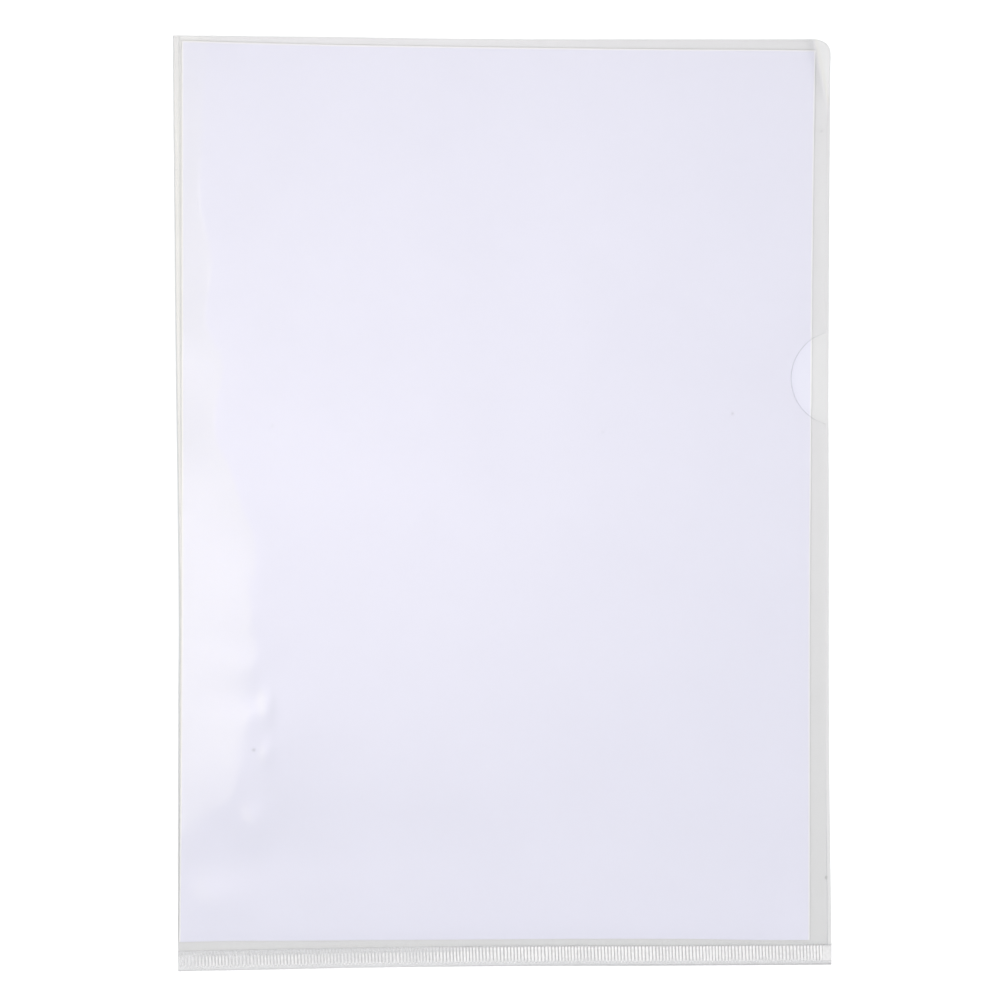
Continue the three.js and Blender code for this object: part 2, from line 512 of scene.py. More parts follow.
def new_material(name: str) -> tuple[Material, Graph]:
    """Makes an empty material that uses nodes.

    Args:
        name: the material's name.

    Returns:
        The material and the graph of its tree.
    """
    material = bpy.data.materials.new(name)
    material.use_nodes = True
    return material, Graph(material.node_tree)


@dataclass(frozen=True)
class FilmFinish:
    """Clear polypropylene: it lets light through, mirrors by Fresnel, and is a little milky."""

    effects: SharedEffects
    name: str = "clear_film"
    ior: float = 1.49
    roughness: float = 0.11
    uneven: float = 0.04
    haze: float = 0.07
    passed: Colour = (0.99, 0.99, 0.99)
    milk: float = 0.012
    milk_colour: Colour = (0.93, 0.935, 0.95)
    # Tint of the painted shade lines on the film.
    painted_shade_passes: Colour = (0.87, 0.875, 0.885)
    grazing_passes: Colour = (0.97, 0.97, 0.97)
    speck_passes: Colour = (0.93, 0.93, 0.93)
    speck_cell: float = 38.0
    speck_size: float = 0.8

    def material(self) -> Material:
        """Builds the material.

        The clear part is darker where painted shade lies, along the cut edge, before the ear's crease
        and over the paper's left edge, under the specks and where it is seen along its own face. A
        small share is milky white.

        Returns:
            The material.
        """
        material, graph = new_material(self.name)
        place = graph.flat_map()
        # This field is painted shade: dark lines along the cut edges, before the ear's crease and
        # over the paper's left edge.
        cut = graph.attribute("painted_light_and_shade")
        specks = self.effects.place(
            graph, self.effects.specks, Place=place, Cell=self.speck_cell, Size=self.speck_size
        )
        plain = graph.mixed_colour(cut, (*self.passed, 1), (*self.painted_shade_passes, 1))
        dust_and_painted_shade = graph.mixed_colour(specks, plain, (*self.speck_passes, 1))
        facing = graph.feed(graph.add("LayerWeight"), Blend=0.5).outputs["Facing"]
        long_way = graph.math("POWER", facing, 5.0)
        tint = graph.mixed_colour(long_way, dust_and_painted_shade, (*self.grazing_passes, 1))
        clear = graph.feed(graph.add("BsdfTransparent"), Color=tint)
        milky = graph.add("BsdfPrincipled")
        graph.feed(milky, Base_Color=(*self.milk_colour, 1), Roughness=0.5)
        slow = self.effects.place(graph, self.effects.unevenness, Place=place, Large=0.02, Fine=0.11)
        even = graph.math("MULTIPLY_ADD", slow, self.uneven, self.roughness)
        rough = graph.math("MULTIPLY_ADD", graph.attribute("haze"), self.haze, even)
        graph.glaze(graph.mixed(self.milk, clear, milky), rough, self.ior)
        return material


@dataclass(frozen=True)
class WeldFinish:
    """Melted film: white where the ribs are pressed up, partly real whitening and partly painted
    highlight, greyer and clearer between them.
    """

    effects: SharedEffects
    name: str = "welded_film"
    passed: Colour = (0.983, 0.984, 0.986)
    # Tint of the painted shade lines on the weld.
    painted_shade_line_passes: Colour = (0.7, 0.7, 0.71)
    # White of the pressed crests, which also carries their painted highlight.
    white: Colour = (0.962, 0.963, 0.984)
    patchy: float = 0.5
    ior: float = 1.49
    roughness: float = 0.16

    def material(self) -> Material:
        """Builds the material from the weld's own fields: how white it is, partly painted highlight,
        and its painted shade lines.

        Returns:
            The material.
        """
        material, graph = new_material(self.name)
        place = graph.flat_map()
        slow = self.effects.place(graph, self.effects.unevenness, Place=place, Large=0.05, Fine=0.6)
        # How white the crests are: real whitening plus painted highlight.
        ribs = graph.attribute("whitening_and_painted_highlight")
        # This field is painted shade: the dark line at the foot and the greyer top of the ribs.
        lines = graph.attribute("painted_light_and_shade")
        patches = graph.math("MULTIPLY_ADD", slow, self.patchy, 1.0)
        share = graph.math("MULTIPLY", ribs, patches, clamp=True)
        tint = graph.mixed_colour(lines, (*self.passed, 1), (*self.painted_shade_line_passes, 1))
        clear = graph.feed(graph.add("BsdfTransparent"), Color=tint)
        white = graph.add("BsdfPrincipled")
        graph.feed(white, Base_Color=(*self.white, 1), Roughness=0.35)
        graph.glaze(graph.mixed(share, clear, white), self.roughness, self.ior)
        return material


@dataclass(frozen=True)
class PaperFinish:
    """Bluish white copier paper: matt, with faint clouds of fibre and a painted highlight along its
    cut edge.
    """

    effects: SharedEffects
    name: str = "copier_paper"
    colour: Colour = (0.846, 0.850, 0.976)
    cloud: Colour = (0.832, 0.836, 0.962)
    # Colour of the painted highlight along the sheet's cut edge.
    edge: Colour = (0.96, 0.96, 0.99)
    cloud_contrast: float = 1.3
    cloud_share: float = 0.35

    def material(self) -> Material:
        """Builds the material.

        Returns:
            The material.
        """
        material, graph = new_material(self.name)
        place = graph.flat_map()
        slow = self.effects.place(graph, self.effects.unevenness, Place=place, Large=0.03, Fine=1.7)
        clouds = graph.math(
            "MULTIPLY_ADD", slow, self.cloud_contrast, self.cloud_share, clamp=True
        )
        body = graph.mixed_colour(clouds, (*self.colour, 1), (*self.cloud, 1))
        # The field mixed in here is a painted highlight along the cut edge.
        shade = graph.mixed_colour(graph.attribute("painted_light_and_shade"), body, (*self.edge, 1))
        fibres = graph.add("TexNoise", noise_dimensions="2D")
        graph.feed(fibres, Vector=place, Scale=3.0, Detail=4.0, Roughness=0.7)
        bump = graph.add("Bump")
        graph.feed(bump, Strength=0.15, Distance=0.00004, Height=fibres.outputs[0])
        paper = graph.add("BsdfPrincipled")
        graph.feed(paper, Base_Color=shade, Roughness=0.85, Normal=bump.outputs[0])
        graph.show(paper)
        return material


# Pieces


@dataclass(frozen=True)
class PageBow:
    """How the top edge and the foot are not quite straight, as one shift of the film's plan."""

    sizes: FolderSizes
    at_top: Knots = (
        (-108.0, 0.1), (-84.0, -0.05), (-50.0, -0.25), (-17.0, -0.62), (16.0, -0.7), (49.0, -0.58),
        (82.0, -0.5), (105.0, -0.42),
    )
    at_foot: Knots = (
        (-108.0, 0.2), (-84.0, 0.35), (-50.0, 0.64), (-17.0, 0.68), (16.0, 0.54), (49.0, 0.22),
        (82.0, 0.02), (105.0, -0.1),
    )
    top_reach: float = 14.0
    foot_reach: float = 22.0

    def shifted(self, points: Array) -> Array:
        """Moves points up the page by the bow of the nearer edge, fading into the page.

        Args:
            points: grid of points whose second number is the height on the page.

        Returns:
            The moved points.
        """
        x, y = points[..., 0], points[..., 1]
        near_top = eased(y, self.sizes.top - self.top_reach, self.sizes.top)
        near_foot = 1.0 - eased(y, self.sizes.weld_top, self.sizes.weld_top + self.foot_reach)
        moved = points.copy()
        moved[..., 1] += near_top * through_knots(x, self.at_top)
        moved[..., 1] += near_foot * through_knots(x, self.at_foot)
        return moved


@dataclass
class Leaf:
    """What both leaves share: the line of their open edge and the painted shade along the cut."""

    sizes: FolderSizes
    corner_radius: float = 4.0
    corner_rows: int = 13
    bow: Knots = (
        (-152.0, -0.4), (-133.0, -0.22), (-99.0, 0.2), (-50.0, 0.4), (0.0, 0.32), (30.0, 0.45),
        (67.0, 0.3), (100.0, 0.1), (133.0, -0.15), (154.0, -0.22),
    )
    rim: float = 0.36
    rim_painted_shade: Knots = ((-155.0, 0.12), (155.0, 0.12))

    def corner_heights(self, top: float) -> Array:
        """Places rows by equal angles round the free corner, up to the top edge."""
        angle = np.linspace(0.0, math.pi / 2, self.corner_rows)
        return top - self.corner_radius * (1.0 - np.sin(angle))

    def open_edge(self, y: Array, side: float, top: float) -> Array:
        """Follows the open edge: a straight line that bows in, then a round corner.

        Args:
            y: heights on the page.
            side: where the straight edge stands.
            top: height on the page of the top edge.

        Returns:
            The edge's distance across at each height.
        """
        radius = self.corner_radius
        into = np.clip(y - (top - radius), 0.0, radius)
        corner = np.sqrt(np.maximum(radius**2 - into**2, 0.0)) - radius
        return side - through_knots(y, self.bow) + corner

    def inset_edge(self, edge: Array) -> Array:
        """Moves the open edge inwards by the rim's width, square to its own direction.

        Args:
            edge: points of the edge, rows by 2.

        Returns:
            Points just inside the edge.
        """
        step = np.gradient(edge, axis=0)
        step /= np.linalg.norm(step, axis=1, keepdims=True)
        inward = np.stack([-step[:, 1], step[:, 0]], axis=1)
        return edge + self.rim * inward

    def rim_field(self, y: Array, top: float, columns: int) -> Array:
        """Paints shade along the cut edge: the last column as its knots say, and faintly the top.

        Args:
            y: heights on the page of the rows.
            top: height on the page of the top edge.
            columns: vertices in a row.

        Returns:
            Numbers from 0 to 1, rows by columns.
        """
        # Painted shade: darker along the top edge and, as the knots say, along the open edge.
        along_top = 0.1 * np.clip(1.0 - (top - y) / self.rim, 0.0, 1.0)
        last = np.arange(columns) == columns - 1
        return np.maximum(along_top[:, None], through_knots(y, self.rim_painted_shade)[:, None] * last)


@dataclass
class BackLeaf(Leaf):
    """The back leaf: flat film on the floor, from the fold's seam to the open side."""

    across_steps: int = 60
    page_steps: int = 120

    def shell(self) -> Shell:
        """Lays a flat grid whose last columns follow the open edge.

        Returns:
            The sheet.
        """
        s = self.sizes
        straight = np.linspace(s.weld_top, s.top - self.corner_radius, self.page_steps)
        y = np.concatenate([straight[:-1], self.corner_heights(s.top)])
        edge = np.stack([self.open_edge(y, s.right, s.top), y], axis=1)
        inside = self.inset_edge(edge)
        start = np.stack([np.full_like(y, s.fold_end), y], axis=1)
        share = np.linspace(0.0, 1.0, self.across_steps)
        plan = np.concatenate([between(start, inside, share), edge[:, None, :]], axis=1)
        plan[-1, :, 1] = s.top
        under = PageBow(s).shifted(at_heights(plan, 0.0))
        over = under + np.array([0.0, 0.0, s.film])
        return Shell(over, under, plan, {"painted_light_and_shade": self.rim_field(y, s.top, plan.shape[1])})

    def build(self, film: Material) -> Thing:
        """Makes the back leaf, dresses it and ties it to the folder.

        Args:
            film: the film's material.

        Returns:
            The piece.
        """
        piece = self.shell().build("back_film", film)
        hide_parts("back_leaf")
        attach(piece, Body.FOLDER.value)
        return piece


@dataclass(frozen=True)
class Bumps:
    """Bumps in the film, each a height times e^(-r²/2), with r in its own width and length."""

    x: Array
    y: Array
    width: Array | float
    length: Array | float
    height: Array

    def heights(self, x: Array, y: Array) -> Array:
        """Adds up the bumps.

        Args:
            x: distances across.
            y: heights on the page.

        Returns:
            Their height at each place.
        """
        across = (x[..., None] - self.x) / self.width
        along = (y[..., None] - self.y) / self.length
        return (self.height * np.exp(-0.5 * (across**2 + along**2))).sum(axis=-1)


@dataclass
class FrontLeaf(Leaf):
    """The fold and the front leaf in one sheet, with the thumb notch in its open edge."""

    corner_radius: float = 5.6
    rim_painted_shade: Knots = (
        (-155.0, 0.9), (-120.0, 0.7), (-95.0, 0.25), (24.0, 0.25), (27.0, 0.75), (56.0, 0.75),
        (59.0, 0.25), (120.0, 0.3), (155.0, 0.6),
    )
    notch_radius: float = 15.7
    notch_outset: float = 3.3
    notch_from_top: float = 113.0
    ramp_rows: int = 15
    foot_rows: int = 104
    notch_rows: int = 61
    head_rows: int = 56
    fold_steps: int = 25
    fold_columns: int = 12
    fold_reach: float = 3.0
    crest_columns: int = 42
    crest_reach: float = 40.0
    page_columns: int = 67
    page_reach: float = 197.0
    edge_columns: int = 29
    edge_crowding: float = 1.7
    bend_reach: float = 150.0
    corner_spring: float = 2.5
    spring_reach: float = 168.4
    pocket_ramp: float = 7.0
    fold_height: Knots = (
        (-147.9, 1.1), (-128.0, 1.42), (-112.0, 1.54), (-80.0, 1.58), (-20.0, 1.6), (60.0, 1.25),
        (110.0, 0.95), (154.5, 0.85),
    )
    fold_inset: Knots = (
        (-154.0, 0.0), (-99.0, 0.2), (-66.0, 0.45), (-38.0, 0.72), (-3.0, 0.55), (33.0, 0.25),
        (67.0, 0.0), (100.0, -0.08), (133.0, -0.24), (154.0, -0.3),
    )
    crest_distance: Knots = (
        (-150.0, 4.0), (-122.0, 5.0), (-116.0, 8.0), (-110.0, 11.0), (-105.0, 14.0), (-100.0, 16.5),
        (-93.0, 19.0), (-87.0, 21.0), (-78.0, 23.5), (-71.0, 25.0), (-64.0, 28.0), (-53.0, 25.0),
        (-46.0, 26.5), (-38.0, 24.5), (-10.0, 25.0), (1.0, 20.5), (11.0, 17.0), (21.0, 12.5),
        (34.0, 12.5), (47.0, 15.0), (58.0, 10.0), (80.0, 11.5), (100.0, 8.0), (125.0, 9.0),
        (148.0, 10.5), (154.5, 11.0),
    )
    crown: Knots = (
        (-150.0, 1.06), (-128.0, 1.27), (-116.0, 1.33), (-108.0, 1.6), (-98.0, 2.15), (-80.0, 2.6),
        (-50.0, 2.7), (0.0, 2.55), (35.0, 2.2), (75.0, 1.95), (120.0, 1.6), (154.5, 1.35),
    )
    crown_distance: float = 18.0
    level: float = 0.9
    settle: float = 45.0
    crest_round: Knots = ((-155.0, 0.14), (-98.0, 0.14), (-75.0, 0.09), (155.0, 0.06))
    ear_from: tuple[float, float] = (103.0, 154.0)
    ear_to: tuple[float, float] = (107.0, 134.0)
    ear_slope: float = 0.42
    ear_ease: float = 1.0
    # Painted shade: a dark band just before the ear's crease.
    ear_shade: float = 0.3
    ear_shade_width: float = 1.3
    ear_shade_from: float = 130.0
    ear_shade_full: float = 142.0
    # Painted shadow: a dark line on the upper film over the paper's left edge, standing in for the
    # paper's contact shadow.
    paper_edge_shade_x: float = -106.9
    paper_edge_shade_width: float = 0.26
    crease: Knots = ((-95.0, 0.0), (-70.0, 0.1), (-25.0, 0.2), (10.0, 0.4), (155.0, 0.4))
    dents: tuple[tuple[float, ...], ...] = (
        (-83.3, -106.5, 3.4, 4.6, 0.5),
        (-93.0, -132.0, 7.0, 5.0, 0.22),
        (-78.6, -66.5, 1.6, 4.5, 0.2),
        (-78.8, -82.5, 1.6, 3.0, 0.18),
    )
    cockles: int = 56
    cockle_height: float = 0.06
    puckers: int = 70
    pucker_height: float = 0.035
    swells: int = 22
    swell_height: float = 0.06
    swell_width: float = 26.0
    seed: int = 7
    edge_back: Knots = (
        (-150.0, 0.6), (0.0, 0.5), (95.0, 0.85), (122.0, 0.7), (138.0, 0.0), (154.5, 0.0),
    )
    hazy_from: float = -10.0
    hazy_at: float = 60.0

    def rows(self) -> Array:
        """Places the rows: close in the ramp, round the notch and round the corner.

        Returns:
            Heights on the page, rising from the weld to the top.
        """
        s = self.sizes
        middle = s.top - self.notch_from_top
        half = math.acos(self.notch_outset / self.notch_radius)
        notch = middle + self.notch_radius * np.sin(np.linspace(-half, half, self.notch_rows))
        parts = [
            np.linspace(s.weld_top, s.weld_top + self.pocket_ramp, self.ramp_rows)[:-1],
            np.linspace(s.weld_top + self.pocket_ramp, notch[0], self.foot_rows)[:-1],
            notch,
            np.linspace(notch[-1], s.top - self.corner_radius, self.head_rows)[1:-1],
            self.corner_heights(s.top),
        ]
        return np.concatenate(parts)

    def edge_points(self, y: Array) -> Array:
        """Follows the open edge, cut back along the notch's circle.

        Args:
            y: heights on the page.

        Returns:
            Points of the edge, rows by 2.
        """
        s = self.sizes
        side = self.open_edge(y, s.front_right, s.top) - through_knots(y, self.edge_back)
        middle = s.top - self.notch_from_top
        off = np.minimum(np.abs(y - middle), self.notch_radius)
        bite = s.front_right + self.notch_outset - np.sqrt(self.notch_radius**2 - off**2)
        reach = math.sqrt(self.notch_radius**2 - self.notch_outset**2)
        cut = np.where(np.abs(y - middle) <= reach + 1e-6, np.minimum(side, bite), side)
        return np.stack([cut, y], axis=1)

    def opening(self, y: Array) -> Array:
        """Gives how far the leaves have come apart above the weld: 1 - (1 - t)², from 0 to 1."""
        t = np.clip((y - self.sizes.weld_top) / self.pocket_ramp, 0.0, 1.0)
        return 1.0 - (1.0 - t) ** 2

    def fold_outer(self, y: Array) -> Array:
        """Gives the fold's outer height: closed at the weld, then as its knots say."""
        closed = self.sizes.weld_thickness
        return closed + (through_knots(y, self.fold_height) - closed) * self.opening(y)

    def wrinkles(self) -> tuple[Bumps, ...]:
        """Draws the bumps: cockles and fine puckers along the crest, wide swells, and dents.

        Returns:
            The four kinds of bumps.
        """
        rng = np.random.default_rng(self.seed)
        y = rng.uniform(-142.0, 150.0, self.cockles)
        x = self.sizes.left + through_knots(y, self.crest_distance)
        x = x + rng.normal(0.0, 4.0, self.cockles)
        length = rng.uniform(4.0, 12.0, self.cockles)
        width = rng.uniform(3.0, 6.5, self.cockles)
        height = rng.uniform(-1.0, 1.0, self.cockles) * self.cockle_height
        cockles = Bumps(x, y, width, length, height)
        y = rng.uniform(-100.0, 60.0, self.puckers)
        x = self.sizes.left + through_knots(y, self.crest_distance)
        x = x + rng.normal(1.0, 2.2, self.puckers)
        size = rng.uniform(1.0, 2.4, self.puckers)
        height = rng.uniform(-1.0, 1.0, self.puckers) * self.pucker_height
        puckers = Bumps(x, y, size, size, height)
        x = rng.uniform(-60.0, 105.0, self.swells)
        y = rng.uniform(-140.0, 150.0, self.swells)
        height = rng.uniform(-1.0, 1.0, self.swells) * self.swell_height
        swells = Bumps(x, y, self.swell_width, self.swell_width, height)
        return cockles, puckers, swells, Bumps(*np.array(self.dents).T)

    def past_crease(self, x: Array, y: Array) -> Array:
        """Gives the distance past the slanted line on which the ear turns up."""
        (ax, ay), (bx, by) = self.ear_from, self.ear_to
        return ((x - ax) * (ay - by) + (y - ay) * (bx - ax)) / math.hypot(bx - ax, by - ay)

    def ear(self, x: Array, y: Array) -> Array:
        """Turns up the tip of the free corner past its crease.

        The slope grows from nothing to its full value over a short way, so the height is the
        slope times e²/2a up to a, and the slope times (e - a/2) from there on.

        Args:
            x: distances across.
            y: heights on the page.

        Returns:
            Heights to add.
        """
        past = np.maximum(self.past_crease(x, y), 0.0)
        a = self.ear_ease
        return self.ear_slope * np.where(past < a, past**2 / (2 * a), past - a / 2)

    def heights(self, x: Array, y: Array) -> Array:
        """Gives the height of the leaf's upper face.

        Away from the fold the film sinks to the level as e^(-d/L), from a crown that changes
        slowly up the page. From the fold it climbs straight to that curve and meets it at a
        rounded crest. The wrinkles are added away from the fold. The free corner adds its
        spring, as the square of the distance past the line it bends on, and its ear. All of it
        closes down to the weld.

        Args:
            x: distances across.
            y: heights on the page.

        Returns:
            Heights.
        """
        s = self.sizes
        fold = through_knots(y, self.fold_height)
        d = np.maximum(x - s.left - through_knots(y, self.fold_inset) - fold / 2, 0.0)
        reach = through_knots(y, self.crest_distance)
        over_level = through_knots(y, self.crown) - self.level
        sink = self.level + over_level * np.exp(-(d - self.crown_distance) / self.settle)
        crest = self.level + over_level * np.exp(-(reach - self.crown_distance) / self.settle)
        climb = fold + (crest - fold) * np.minimum(d / reach, 1.0)
        open_film = lower_of(climb, sink, through_knots(y, self.crest_round))
        bumps = sum(kind.heights(x, y) for kind in self.wrinkles()) * eased(d, 0.0, 9.0)
        spring = self.corner_spring * (s.past_flex(x, y) / self.spring_reach) ** 2
        raised = open_film + bumps + spring + self.ear(x, y)
        closed = s.weld_thickness
        return closed + (raised - closed) * self.opening(y)

    def shell(self) -> Shell:
        """Runs from the seam under the fold, round the fold and across to the open edge.

        Returns:
            The sheet.
        """
        s = self.sizes
        y = self.rows()
        radius = self.fold_outer(y) / 2
        edge_x = s.left + through_knots(y, self.fold_inset)
        turn = np.linspace(-math.pi / 2, -3 * math.pi / 2, self.fold_steps)
        round_x = (edge_x + radius)[:, None] + radius[:, None] * np.cos(turn)
        round_z = radius[:, None] + radius[:, None] * np.sin(turn)
        seam_x = np.full((len(y), 1), s.fold_end)
        fold_x = np.concatenate([seam_x, round_x], axis=1)
        fold_z = np.concatenate([np.zeros_like(seam_x), round_z], axis=1)
        fold = at_heights(np.stack(np.broadcast_arrays(fold_x, y[:, None]), axis=2), fold_z)
        edge = self.edge_points(y)
        plan = self.leaf_plan(round_x[:, -1], edge, y)
        leaf = at_heights(plan, self.heights(plan[..., 0], plan[..., 1]))
        outer = np.concatenate([fold, leaf], axis=1)
        outer[-1, :, 1] = s.top
        inner = outer - s.film * surface_normals(outer)
        inner[[0, -1], :, 1] = outer[[0, -1], :, 1]
        inner[:, 0, 0] = s.fold_end
        arc = radius[:, None] * (turn[0] - turn)
        unrolled = np.concatenate([seam_x * 0.0, arc], axis=1) + s.left
        cut_x = np.concatenate([unrolled, plan[..., 0]], axis=1)
        flat = np.stack([cut_x, outer[..., 1]], axis=2)
        page = PageBow(s)
        rim = self.rim_field(y, s.top, outer.shape[1])
        # Painted shade added to the rim field: the band before the ear's crease and the shadow line
        # over the paper's left edge.
        before = self.past_crease(outer[..., 0], outer[..., 1])
        beside = eased(outer[..., 1], self.ear_shade_from, self.ear_shade_full)
        ear_line = np.exp(-((before / self.ear_shade_width + 1.0) ** 2))
        rim = np.maximum(rim, self.ear_shade * beside * ear_line)
        off = (outer[..., 0] - self.paper_edge_shade_x) / self.paper_edge_shade_width
        upper = outer[..., 2] > radius[:, None]
        rim = np.maximum(rim, through_knots(y, self.crease)[:, None] * np.exp(-(off**2)) * upper)
        haze = np.broadcast_to(eased(y, self.hazy_from, self.hazy_at)[:, None], rim.shape)
        fields = {"painted_light_and_shade": rim, "haze": haze}
        return Shell(page.shifted(outer), page.shifted(inner), flat, fields)

    def leaf_plan(self, start: Array, edge: Array, y: Array) -> Array:
        """Spreads the columns of the leaf: close beside the fold and towards the open edge.

        Args:
            start: where each row leaves the fold.
            edge: points of the open edge.
            y: heights on the page.

        Returns:
            Points in plan, rows by columns by 2.
        """
        stops = (0.0, self.fold_reach, self.crest_reach, self.page_reach)
        columns = (self.fold_columns, self.crest_columns, self.page_columns)
        parts = [np.linspace(a, b, n + 1)[1:] for a, b, n in zip(stops, stops[1:], columns)]
        fixed_x = start[:, None] + np.concatenate(parts)
        body = np.stack(np.broadcast_arrays(fixed_x, y[:, None]), axis=2)
        even = np.linspace(0.0, 1.0, self.edge_columns + 1)[1:]
        share = 1.0 - (1.0 - even) ** self.edge_crowding
        reach = between(body[:, -1], self.inset_edge(edge), share)
        return np.concatenate([body, reach, edge[:, None, :]], axis=1)

    def build(self, film: Material) -> Thing:
        """Makes the fold and front leaf in one piece and hides the solids it stands for.

        Args:
            film: the film's material.

        Returns:
            The piece.
        """
        piece = self.shell().build("front_film", film)
        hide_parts("left_fold", "front_leaf_foot", "front_leaf", "front_corner")
        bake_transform(piece)
        return piece


@dataclass
class Weld:
    """The ribbed weld: a row of fine ribs above a plain lip, with a plain block at the end."""

    sizes: FolderSizes
    lip: float = 1.4
    pitch: float = 1.125
    rib_depth: float = 0.14
    end_block: float = 2.65
    slant: float = 0.035
    overhang: float = 0.3
    samples: int = 8
    rib_marks: tuple[float, float] = (0.08, 0.62)
    drifts: Waves = ((0.16, 31.0, 0.0), (0.12, 83.0, 1.0))
    patches: Waves = ((0.09, 47.0, 0.4), (0.06, 117.0, 0.0))
    band_height: float = 5.2
    block_ease: float = 0.2
    rim: float = 0.42
    row_heights: tuple[float, ...] = (
        0.0, 0.25, 0.5, 1.05, 1.35, 1.7, 2.3, 3.0, 3.8, 4.6, 5.3, 5.9, 6.3, 6.6,
    )

    def shell(self) -> Shell:
        """Works out the weld on a grid with the same few columns to each rib.

        A rib's section is a cosine wave of its phase, eased to full between a low and a high
        mark. The phase drifts by two slow waves along the weld and leans with the height in the
        band. The dark field is painted shade along the foot's cut edge and, beside the fold, at the
        ribs' upper end.

        Returns:
            The sheet.
        """
        s = self.sizes
        span = s.right - s.left
        count = int(round(span / self.pitch * self.samples))
        x = np.linspace(s.left, s.right + self.overhang, count + 1)[None, :]
        y = s.foot + np.array(self.row_heights)[:, None]
        up = (y - s.foot - self.lip) / (s.weld_top - s.foot - self.lip)
        across = (x - s.left) / span
        drift = waves_along(across, self.drifts)
        phase = (x - s.left) / self.pitch + drift + self.slant * (up - 0.5) * self.band_height
        ribs = eased(0.5 - 0.5 * np.cos(2 * math.pi * phase), *self.rib_marks)
        block_left = s.right - self.end_block
        block = eased(x, block_left - self.block_ease, block_left + self.block_ease)
        band = eased(up, -0.04, 0.08) * eased(1.0 - up, -0.02, 0.10)
        low_end = 1.0 - eased(across, 0.3, 0.55)
        fade = eased(1.0 - up, 0.0, 0.1 + 0.5 * low_end)
        relief = band * fade * (1.0 - ribs) * (1.0 - block)
        over_z = s.weld_thickness - self.rib_depth * relief
        white = self.whitening_and_painted_highlight(across, up, ribs, band, block, low_end)
        # Painted shade: a dark line along the foot's cut edge, and a greyer band at the top of the
        # ribs beside the fold.
        rim = eased(s.foot + self.rim - y, 0.0, self.rim)
        rim = rim * (0.4 + 0.6 * eased(across, 0.3, 0.8))
        painted_top_shade = 0.12 * eased(up, 0.62, 0.8) + 0.14 * eased(up, 0.9, 1.0)
        painted_top_shade_line = painted_top_shade * low_end * (1.0 - block)
        plan = np.stack(np.broadcast_arrays(x, y), axis=2)
        page = PageBow(s)
        over = page.shifted(at_heights(plan, over_z))
        under = page.shifted(at_heights(plan, 0.0))
        return Shell(over, under, plan, {"whitening_and_painted_highlight": white, "painted_light_and_shade": np.maximum(rim, painted_top_shade_line)})

    def whitening_and_painted_highlight(
        self, across: Array, up: Array, ribs: Array, band: Array,
        block: Array, low_end: Array,
    ) -> Array:
        """Gives how white the melted film is, as real whitening and painted highlight: most on the
        crests, with slow waves along it.

        Args:
            across: share of the way along the weld.
            up: share of the way up the ribbed band.
            ribs: 1 on a crest and 0 between.
            band: 1 within the ribbed band.
            block: 1 on the plain end block.
            low_end: 1 in the half beside the fold and 0 in the other.

        Returns:
            Numbers from 0, clear, to 1, white.
        """
        # How bright the crests are along the weld and up the band follows how the light falls on
        # them: these factors paint highlight over the real whitening.
        faint = 0.35 + 0.65 * eased(across, 0.012, 0.05)
        lower = 1.0 - eased(up, 0.55, 0.78) * 0.75 * low_end
        upper = 1.0 - (1.0 - eased(up, 0.05, 0.35)) * 0.35 * (1.0 - low_end)
        waves = 0.86 + waves_along(across, self.patches)
        full = 1.38 - 0.56 * low_end
        crest = (0.25 + 0.75 * ribs) * band * faint * lower * upper * waves * full
        lip = 0.22 * (1.0 - band)
        plain = 0.8 * band + 0.2 * (1.0 - band)
        return np.clip((crest + lip) * (1.0 - block) + plain * block, 0.0, 1.0)

    def build(self, weld: Material) -> Thing:
        """Makes the weld and ties it to the folder.

        Args:
            weld: the welded film's material.

        Returns:
            The piece.
        """
        piece = self.shell().build("weld_band", weld)
        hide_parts("bottom_weld")
        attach(piece, Body.FOLDER.value)
        return piece


